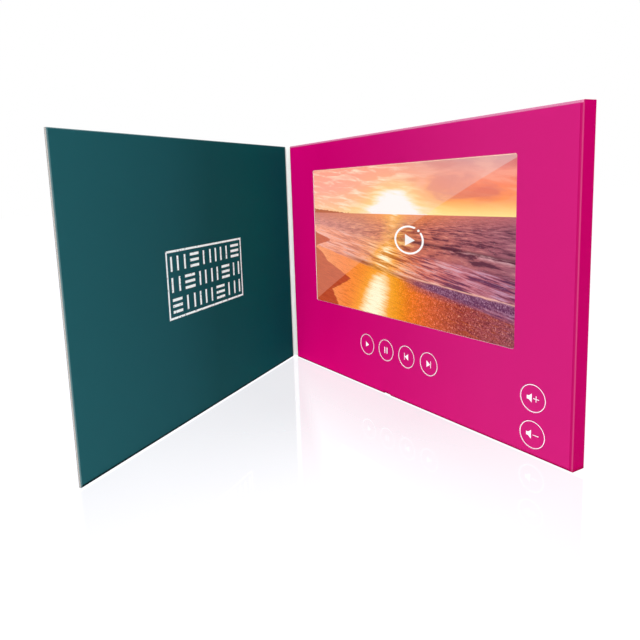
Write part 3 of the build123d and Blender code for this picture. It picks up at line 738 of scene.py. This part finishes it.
# each sign as strokes and polygons, in millimetres from the cap's middle
horn = [(-2.95, -0.8), (-1.95, -0.8), (-0.55, -2.0), (-0.55, 2.0), (-1.95, 0.8), (-2.95, 0.8)]
signs = {
    "play": [[(-1.15, -1.6), (1.6, 0), (-1.15, 1.6)]],
    "pause": [bar(-0.95, 0, 0.65, 3.6), bar(0.95, 0, 0.65, 3.6)],
    "previous": [bar(-1.45, 0, 0.33, 3.7), [(1.45, -1.8), (1.45, 1.8), (-1.1, 0)]],
    "next": [[(-1.45, -1.75), (1.1, 0), (-1.45, 1.75)], bar(1.45, 0, 0.33, 3.7)],
    "volume_up": [horn, bar(1.6, 0, 2.9, 0.32), bar(1.6, 0, 0.32, 2.7)],
    "volume_down": [horn, bar(1.7, 0, 2.9, 0.32)],
}
for key in keys:
    low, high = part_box(f"{key}_button")
    middle = (low + high) / 2
    shape = bmesh.new()
    for corners in signs[key]:
        polygon(shape, [(middle.x + across * mm, low.y, middle.z + up * mm) for across, up in corners])
    turn = Matrix.Translation((middle.x, low.y, middle.z)) @ Matrix.Rotation(pi / 2, 4, "X")
    edges = []
    for radius in (ring_middle - ring_stroke / 2, ring_middle + ring_stroke / 2):
        circle = bmesh.ops.create_circle(shape, segments=64, radius=radius, matrix=turn)
        edges += list({edge for vert in circle["verts"] for edge in vert.link_edges})
    bmesh.ops.bridge_loops(shape, edges=edges)
    bmesh.ops.recalc_face_normals(shape, faces=shape.faces[:])
    thicken(shape, Vector((0, -ink_height, 0)))
    piece(shape, f"{key}_sign", f"{key}_key", "printed_caps", white_ink)


# ---- Switches ----
# Surface-mounted tact switches under the caps: a black base, a pressed steel cover with its rim, and a
# black acetal plunger.

# pressed steel shines only on the front, and the sides are the black base
switch, node, shader = surface("switch_steel_cover", "#b9bcbf", "#d0d2d4", 0.9, 0.32, 0.1)
facing = node("SeparateXYZ", {0: node("TexCoord").outputs["Normal"]}).outputs[1]
cover_face = node("Math", {0: facing, 1: -0.5}, operation="LESS_THAN")
recolour(node, shader, node("Math", {0: 1.0, 1: cover_face}, operation="SUBTRACT"), "#161617")
shader.id_data.links.new(cover_face.outputs[0], shader.inputs["Metallic"])
give(["row_switches", "volume_switches"], switch)
give(
    [f"{key}_plunger" for key in keys],
    surface("acetal_black_plunger", "#141415", "#222224", 0.5, 0.4, 0.1)[0],
)


# ---- Circuit boards ----
# Glass-epoxy boards under green solder mask, with copper tracks that show through it and gold pads,
# for the player, the volume switches and the sensor.

# solder mask is a glossy green film; the tracks under it are paler, and the cut edge shows bare glass fibre
board, node, shader = surface("solder_mask_green", "#0f5a38", "#14683f", 4, 0.32)
place = node("TexCoord").outputs["Object"]
cells = node("TexVoronoi", {"Vector": place, "Scale": 1 / (2.4 * mm)}, distance="MANHATTAN", feature="F1")
rings = node(
    "Math", {0: node("Math", {0: cells.outputs["Distance"], 1: 6.0}, operation="MULTIPLY")}, operation="FRACT"
)
tracks = node("Math", {0: rings, 1: 0.35}, operation="LESS_THAN")
recolour(node, shader, tracks, "#1d7d4c")
pads = node("TexVoronoi", {"Vector": place, "Scale": 1 / (3.6 * mm), "Randomness": 0.6})
pad = node("Math", {0: pads.outputs["Distance"], 1: 0.13}, operation="LESS_THAN")
recolour(node, shader, pad, "#d9b25a")
facing = node("SeparateXYZ", {0: node("TexCoord").outputs["Normal"]}).outputs[1]
cut = node("Math", {0: node("Math", {0: facing}, operation="ABSOLUTE"), 1: 0.5}, operation="LESS_THAN")
recolour(node, shader, cut, "#b7a76a")
shader.id_data.links.new(pad.outputs[0], shader.inputs["Metallic"])
give(["main_board", "volume_board", "sensor_board"], board)

# the player's chips and sensor are black moulded epoxy, and its coils are ferrite
give(
    ["processor", "memory_chip", "lid_sensor"],
    surface("epoxy_black_package", "#161617", "#232325", 0.25, 0.55, 0.35)[0],
)
give(["power_coils"], surface("ferrite_grey", "#3a3b3d", "#505254", 0.5, 0.6, 0.4)[0])
give(
    ["ribbon_socket", "battery_plug", "speaker_plug"],
    surface("nylon_ivory", "#e4dfd0", "#f2eee2", 0.8, 0.48, 0.1)[0],
)

# flat flexible cable: white film over tinned conductors
cable, node, shader = surface("flat_cable_white", "#e4e5e6", "#f3f4f4", 2, 0.4)
recolour(node, shader, stripes(node, 2, 1.0, 0.6, 22.9), "#c9cbcd")
give(["volume_ribbon"], cable)


# ---- Charging socket ----
# A small socket on the board's lower edge, behind the notch in the face: a folded shell of nickel-plated
# steel, and a black tongue with gold contacts.
give(["usb_socket"], surface("steel_nickel_plated", "#b4b3ac", "#cfcec8", 0.6, 0.28, 0.1, Metallic=1.0)[0])
tongue, node, shader = surface("polymer_black_tongue", "#131314", "#1e1e20", 0.4, 0.5, 0.1)
contacts = stripes(node, 0, 0.65, 0.5, -10.3)
recolour(node, shader, contacts, "#d8b057")
shader.id_data.links.new(contacts.outputs[0], shader.inputs["Metallic"])
give(["usb_tongue"], tongue)


# ---- Battery ----
# A lithium pouch cell in crinkled aluminium foil, stuck down with white tape, with its protection strip
# under amber tape, and a red and a black lead.
give(["battery_cell"], surface("foil_pouch_crinkled", "#b5b8bb", "#d3d5d7", 3.5, 0.36, 0.6, Metallic=0.9)[0])
give(["battery_guard"], surface("polyimide_tape_amber", "#a4621a", "#c07f2c", 2.5, 0.3, 0.15)[0])
give(["battery_tape"], surface("double_sided_tape_white", "#e2e3e2", "#f0f1f0", 1.2, 0.7, 0.2)[0])

# each pair of leads lies side by side, red above or outside, so the tone changes at the middle of the pair
for lead, axis, middle in (("battery", 2, 10.1), ("speaker", 2, 17.9), ("sensor", 0, 91.775)):
    sheath, node, shader = surface(f"lead_sheath_{lead}", "#b3171a", "#c9272a", 0.6, 0.42, 0.1)
    side = node("SeparateXYZ", {0: node("TexCoord").outputs["Object"]}).outputs[axis]
    recolour(node, shader, node("Math", {0: side, 1: middle * mm}, operation="LESS_THAN"), "#171718")
    give([f"{lead}_leads"], sheath)


# ---- Speaker ----
# A 28 mm speaker: a black powder-coated steel can, a nickel-plated magnet, and a black paper cone whose
# pulp fibres show.
give(["speaker_frame"], surface("steel_powder_coated_black", "#18181a", "#29292b", 0.35, 0.5, 0.5)[0])
give(
    ["speaker_magnet"], surface("magnet_nickel_plated", "#8f9092", "#adaeb0", 0.8, 0.26, 0.1, Metallic=1.0)[0]
)
give(["speaker_cone"], surface("paper_pulp_black", "#1a1917", "#2f2d2a", 0.45, 0.85, 0.6)[0])


# ---- Filler and backing ----
# White foam with a pocket for each part, and a grey board of pressed waste paper behind it, which is
# glued to the foam and closes the box at the back.
give(["filler_frame"], surface("foam_beaded_white", "#dfe0e0", "#f4f5f5", 0.9, 0.85, 0.7)[0])
chipboard, node, shader = surface("chipboard_grey_pressed", "#928f89", "#aaa7a0", 1.6, 0.85, 0.3)
flecks = node("TexVoronoi", {"Vector": node("TexCoord").outputs["Object"], "Scale": 1 / (1.3 * mm)})
recolour(
    node, shader, node("Math", {0: flecks.outputs["Distance"], 1: 0.1}, operation="LESS_THAN"), "#6c6963"
)
give(["backing_board"], chipboard)


# ---- Cover sheet ----
# The outer sheet of art card: back panel, spine and cover. Its outside is printed teal and laminated, its
# inside is bare white card, and its cut edges show the grey-white core.
# painted light: the teal is darker near the fold and paler towards the free edge
teal_painted_light = [(0.2, "#004a4d"), (0.47, "#0e484d"), (0.65, "#185158"), (1, "#205a61")]


def card_sheet(name, printed_way, painted_light_from=None, painted_light_to=None):
    """Card that is printed teal on the side that faces a direction, with painted light that pales it from one
    point to the other.
    """
    made, tree = new_tree(name)
    node = partial(add, tree)
    place = node("TexCoord")
    at = place.outputs["Object"]
    mottle = node("TexNoise", {"Vector": at, "Scale": 1 / (7 * mm), "Detail": 5.0})
    fibre = node("TexNoise", {"Vector": at, "Scale": 1 / (0.2 * mm), "Detail": 3.0})
    layers = node("TexNoise", {"Vector": at, "Scale": 1 / (0.12 * mm), "Detail": 2.0})
    ink = "#114c52"
    if painted_light_from:
        path = Vector(painted_light_to) - Vector(painted_light_from)
        off = node("VectorMath", {0: at, 1: painted_light_from}, operation="SUBTRACT")
        reach = node(
            "VectorMath", {0: off, 1: path / path.length_squared}, operation="DOT_PRODUCT"
        ).outputs["Value"]
        lit_teal = node("ValToRGB", {0: reach}, stops=teal_painted_light)
        height = node("SeparateXYZ", {0: at}).outputs[2]
        # painted shade: darker along the foot and beside the fold
        foot = node("MapRange", {"Value": height, "From Min": 1.2 * mm, "From Max": 0.6 * mm})
        hinge = node("MapRange", {"Value": reach, "From Min": 0.008, "From Max": 0.005})
        painted_shade_share = node("Math", {0: foot, 1: hinge}, operation="MAXIMUM")
        shaded_teal = node("Mix", {0: painted_shade_share, 6: lit_teal, 7: "#001316"}, data_type="RGBA")
        # and a painted highlight: paler along the head and the free edge
        head = node("MapRange", {"Value": height, "From Min": 147.5 * mm, "From Max": 147.8 * mm})
        lip = node("MapRange", {"Value": reach, "From Min": 0.9955, "From Max": 0.9975})
        edges = node("Math", {0: head, 1: lip}, operation="MAXIMUM")
        highlight_share = node("Math", {0: edges, 1: 0.35}, operation="MULTIPLY")
        ink = node("Mix", {0: highlight_share, 6: shaded_teal, 7: "#9cc4c8"}, data_type="RGBA")
    flecked = node(
        "Mix",
        {0: node("Math", {0: mottle, 1: 0.03}, operation="MULTIPLY"), 6: ink, 7: "#3d7a80"},
        data_type="RGBA",
    )
    facing = node(
        "VectorMath", {0: place.outputs["Normal"], 1: printed_way}, operation="DOT_PRODUCT"
    ).outputs["Value"]
    printed = node("Math", {0: facing, 1: 0.5}, operation="GREATER_THAN")
    bare = node("Math", {0: facing, 1: -0.5}, operation="LESS_THAN")
    core = node("Mix", {0: layers, 6: "#7e7d7d", 7: "#969595"}, data_type="RGBA")
    # the bare inside is a mint white: painted teal bounce light
    paper = node("Mix", {0: bare, 6: core, 7: "#e3e9e5"}, data_type="RGBA")
    shader = node(
        "BsdfPrincipled",
        {
            "Base Color": node("Mix", {0: printed, 6: paper, 7: flecked}, data_type="RGBA"),
            "Roughness": node("MapRange", {"Value": mottle, "To Min": 0.5, "To Max": 0.6}),
            "IOR": 1.5,
            "Specular IOR Level": 0.02,
            "Normal": node("Bump", {"Height": fibre, "Strength": 0.06, "Distance": 0.02 * mm}),
        },
    )
    node("OutputMaterial", {"Surface": shader})
    return made


fold_angle = radians(61.4)
up_way = Vector((0, 0, 1))
spine_way = Vector((-cos(fold_angle), -sin(fold_angle), 0))
cover_way = Vector((-cos(2 * fold_angle), -sin(2 * fold_angle), 0))
spine_out = spine_way.cross(up_way)
cover_out = cover_way.cross(up_way)
back_fold = Vector((-105.8, 4.1, 0)) * mm
cover_fold = back_fold + spine_way * 9.1 * mm
give(["back_card"], card_sheet("laminated_card_teal_back", (0, 1, 0)))
give(["spine_card"], card_sheet("laminated_card_teal_spine", spine_out))
give(["cover_card"], card_sheet("laminated_card_teal_cover", cover_out))


# ---- Folds ----
# The two creases of that sheet, where the card bends in a tight round: box to spine, and spine to cover.
# The teal laminate holds together on the outside, and the bare inside of the card faces the reader.
sheet_thickness = 0.5 * mm
crease_slit = 0.15 * mm
crease_steps = 10
crease_crown = 0.35 * mm  # the creasing rule presses the round flat at this height
outside = surface("laminated_card_teal_fold", "#114c52", "#1b5a60", 0.8, 0.5, 0.1, Specular_IOR_Level=0.12)[0]
# the inside of the folds is a darker mint white: painted shade in the crease, with painted teal bounce
inside = surface("art_card_fold_painted_shade", "#d3d8d5", "#e2e7e4", 0.25, 0.8, 0.2)[0]
folds = [
    ("fold_at_box", back_fold, Vector((-1, 0, 0)), "screen_box", "spine"),
    ("fold_at_cover", cover_fold, spine_way, "spine", "cover"),
]
for name, axis, way, first, second in folds:
    out = way.cross(up_way)
    next_way = Matrix.Rotation(fold_angle, 3, "Z") @ way
    start = axis - way * crease_slit
    shape = bmesh.new()
    corners = [(0, 0), (sheet_thickness, 0), (sheet_thickness, box_high.z), (0, box_high.z)]
    section = polygon(shape, [start + out * deep + up_way * high for deep, high in corners])
    run = bmesh.ops.extrude_face_region(shape, geom=section)["geom"]
    bmesh.ops.translate(shape, verts=verts_in(run), vec=way * crease_slit)
    run = bmesh.ops.spin(
        shape, geom=run, cent=axis, axis=up_way, angle=fold_angle, steps=crease_steps
    )["geom_last"]
    last = [item for item in run if isinstance(item, bmesh.types.BMFace)]
    run = bmesh.ops.extrude_face_region(shape, geom=last)["geom"]
    bmesh.ops.translate(shape, verts=verts_in(run), vec=next_way * crease_slit)
    bmesh.ops.remove_doubles(shape, verts=shape.verts[:], dist=0.002 * mm)
    bmesh.ops.recalc_face_normals(shape, faces=shape.faces[:])
    crown = (out + next_way.cross(up_way)).normalized()
    for face in shape.faces:
        on_outside = min((vert.co - axis).xy.length for vert in face.verts) > 0.9 * sheet_thickness
        face.material_index = 0 if on_outside else 1
    for vert in shape.verts:
        vert.co -= crown * max(0, (vert.co - axis).dot(crown) - crease_crown)
    band = piece(shape, name, None, "teal_card", outside, inside)
    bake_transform(band)


# ---- Cover lining ----
# A second sheet, printed teal and laminated, with painted light that pales it towards the free edge, and
# glued inside the cover over a thin magnet.
cover_end = cover_fold + cover_way * 208.8 * mm
give(["cover_liner"], card_sheet("laminated_card_teal_lining", -cover_out, cover_fold, cover_end))
give(["cover_glue"], surface("dispersion_glue_dried", "#d9d2c4", "#e9e3d6", 1.5, 0.5, 0.3)[0])
give(
    ["cover_magnet"],
    surface("magnet_nickel_plated_cover", "#8f9092", "#adaeb0", 0.8, 0.26, 0.1, Metallic=1.0)[0],
)


# ---- Print on the cover ----
# White screen-print on the lining: a frame round three rows of plain upright and level bars, printed a
# little unevenly.
print_height = 0.02 * mm
frame_line = 1.1 * mm
print_left, print_right = 68.0, 141.3
print_low, print_high = 56.7, 92.0
row_height = 7.6
row_margin = 3.2
mark_gap = 4.0
stroke = 1.45
rows = [  # lower edge of the row, then the kind and width of each sign
    (81.3, [(2, 8.8), (1, 7.4), (0, 1.5), (1, 7.8), (2, 8.0), (1, 7.6), (0, 1.5)]),
    (70.5, [(1, 7.0), (2, 8.4), (0, 1.5), (1, 7.6), (0, 1.5), (2, 9.0), (1, 7.6)]),
    (59.7, [(0, 1.5), (1, 7.8), (2, 8.6), (1, 7.2), (0, 1.5), (1, 7.8), (2, 8.2)]),
]

# the same dry white ink, with pinholes through which the teal shows
worn_ink, tree = new_tree("screen_print_ink_white_worn")
node = partial(add, tree)
place = node("TexCoord").outputs["Object"]
wear = node("TexNoise", {"Vector": place, "Scale": 1 / (1.6 * mm), "Detail": 6.0, "Roughness": 0.7})
holes = node("ValToRGB", {0: wear}, stops=[(0.36, "#ffffff"), (0.42, "#000000")])
ink_tone = lay("#2a6268", "#ebffff", holes)
shader = node("BsdfPrincipled", {"Base Color": ink_tone, "Roughness": 0.6, "Specular IOR Level": 0.12})
node("OutputMaterial", {"Surface": shader})


def on_lining(across, high):
    """A point on the printed face of the lining, by its distance from the fold and its height."""
    return cover_fold + cover_way * across * mm + up_way * high * mm - cover_out * 0.6 * mm


def patch(shape, left, right, low, high):
    """A flat rectangle on the lining."""
    corners = [(left, low), (right, low), (right, high), (left, high)]
    return polygon(shape, [on_lining(*corner) for corner in corners])


shape = bmesh.new()
outer_face = patch(shape, print_left, print_right, print_low, print_high)
bmesh.ops.inset_region(shape, faces=outer_face, thickness=frame_line, use_boundary=True, use_even_offset=True)
middle = on_lining((print_left + print_right) / 2, (print_low + print_high) / 2)
inner_face = min(shape.faces, key=lambda face: (face.calc_center_median() - middle).length)
bmesh.ops.delete(shape, geom=[inner_face], context="FACES")
for low, marks in rows:
    left = print_left + row_margin
    for kind, width in marks:
        if kind == 2:  # three level bars
            for step in (0, 0.5, 1):
                bottom = low + step * (row_height - stroke)
                patch(shape, left, left + width, bottom, bottom + stroke)
        else:  # one or two upright bars
            for start in (left, left + width - stroke)[: kind + 1]:
                patch(shape, start, start + stroke, low, low + row_height)
        left += width + mark_gap
thicken(shape, -cover_out * print_height)
piece(shape, "cover_print", "cover", "teal_card", worn_ink)


# ---- Floor ----
# A white glossy studio table, which mirrors the foot of the brochure faintly. The mirror image fades away
# from the box and the cover, and a hair of plain white is left along their feet.
shape = bmesh.new()
bmesh.ops.create_grid(
    shape, x_segments=1, y_segments=1, size=4, matrix=Matrix.Translation((0, 0, -0.05 * mm))
)
table, tree = new_tree("studio_table_gloss_white")
node = partial(add, tree)
place = node("TexCoord")
spot = node("SeparateXYZ", {0: place.outputs["Object"]})
# the box's image and the cover's meet along the middle of the V
v_corner = Vector((-105, -4, 0)) * mm
v_across = Vector((0.4718, 0.8817, 0))
v_blur = 3 * mm
along_v = node(
    "VectorMath", {0: place.outputs["Object"], 1: v_across}, operation="DOT_PRODUCT"
).outputs["Value"]
from_v = node("Math", {0: along_v, 1: v_corner.dot(v_across)}, operation="SUBTRACT")
box_back = node(
    "MapRange",
    {"Value": spot.outputs[1], "From Min": -105 * mm, "From Max": -5 * mm, "To Max": 0.23},
    interpolation_type="SMOOTHSTEP",
)
box_right = node(
    "MapRange",
    {"Value": spot.outputs[0], "From Min": 25 * mm, "From Max": 115 * mm, "To Min": 1.0, "To Max": 0.5},
)
box_share = meet(box_back, box_right, (spot.outputs[1], -4.3 * mm, -4.8 * mm))
cover_back = node(
    "MapRange",
    {"Value": spot.outputs[0], "From Min": 110 * mm, "From Max": -40 * mm, "To Max": 0.225},
    interpolation_type="SMOOTHSTEP",
)
cover_front = node(
    "MapRange",
    {"Value": spot.outputs[1], "From Min": -150 * mm, "From Max": -60 * mm, "To Min": 0.65, "To Max": 1.0},
)
along_out = node(
    "VectorMath", {0: place.outputs["Object"], 1: cover_out}, operation="DOT_PRODUCT"
).outputs["Value"]
from_cover = node("Math", {0: cover_fold.dot(cover_out), 1: along_out}, operation="SUBTRACT")
cover_share = meet(cover_back, cover_front, (from_cover, 1.8 * mm, 3 * mm))
mirror_share = node("Mix", {0: meet((from_v, -v_blur, v_blur)), 2: cover_share, 3: box_share})
diffuse = node("BsdfDiffuse", {"Color": "#fbfbfb"})
plain = node("Emission", {"Color": "#fbfbff", "Strength": 1.11})
ray = node("LightPath")
seen = node("Math", {0: ray.outputs["Is Camera Ray"], 1: 0.93}, operation="MULTIPLY")
white = node("MixShader", {0: seen, 1: diffuse, 2: plain})
mirror = node("BsdfGlossy", {"Color": "#ffffff", "Roughness": 0.004})
node("OutputMaterial", {"Surface": node("MixShader", {0: mirror_share, 1: white, 2: mirror})})
mesh = bpy.data.meshes.new("table_top")
shape.to_mesh(mesh)
shape.free()
mesh.materials.append(table)
table_top = bpy.data.objects.new("table_top", mesh)
bpy.context.scene.collection.objects.link(table_top)


# ---- Light ----
# A bright white studio: an even surround, which is dim for all but what is seen or mirrored, and large soft
# boxes in front of the V, beside the cover and overhead.
world = bpy.data.worlds.new("studio")
bpy.context.scene.world = world
world.use_nodes = True
world.node_tree.nodes.clear()
node = partial(add, world.node_tree)
ray = node("LightPath")
mirrored = node(
    "Math", {0: ray.outputs["Is Camera Ray"], 1: ray.outputs["Is Glossy Ray"]}, operation="MAXIMUM"
)
seen = node("Math", {0: mirrored, 1: ray.outputs["Is Transmission Ray"]}, operation="MAXIMUM")
strength = node("MapRange", {"Value": seen, "To Min": 0.2, "To Max": 1.0})
node("OutputWorld", {"Surface": node("Background", {"Color": "#ffffff", "Strength": strength})})

middle = Vector((-0.02, -0.04, 0.075))
lamps = {  # azimuth and elevation in degrees, distance and width in metres, and watts
    "key_box": (45, 25, 3.0, 1.6, 52),
    "fill_box": (36, 30, 3.0, 1.2, 32),
    "cover_box": (75, 25, 3.0, 1.6, 21),
    "overhead_box": (61, 85, 1.0, 0.9, 4.3),
}
for name, (azimuth, elevation, distance, width, power) in lamps.items():
    light = bpy.data.lights.new(name, "AREA")
    light.size = width
    light.energy = power
    lamp = bpy.data.objects.new(name, light)
    bpy.context.scene.collection.objects.link(lamp)
    turn = Matrix.Rotation(radians(azimuth), 3, "Z") @ Matrix.Rotation(-radians(elevation), 3, "X")
    away = turn @ Vector((0, -1, 0))
    lamp.location = middle + away * distance
    lamp.rotation_euler = (-away).to_track_quat("-Z", "Y").to_euler()

bpy.context.scene.view_settings.view_transform = "Standard"
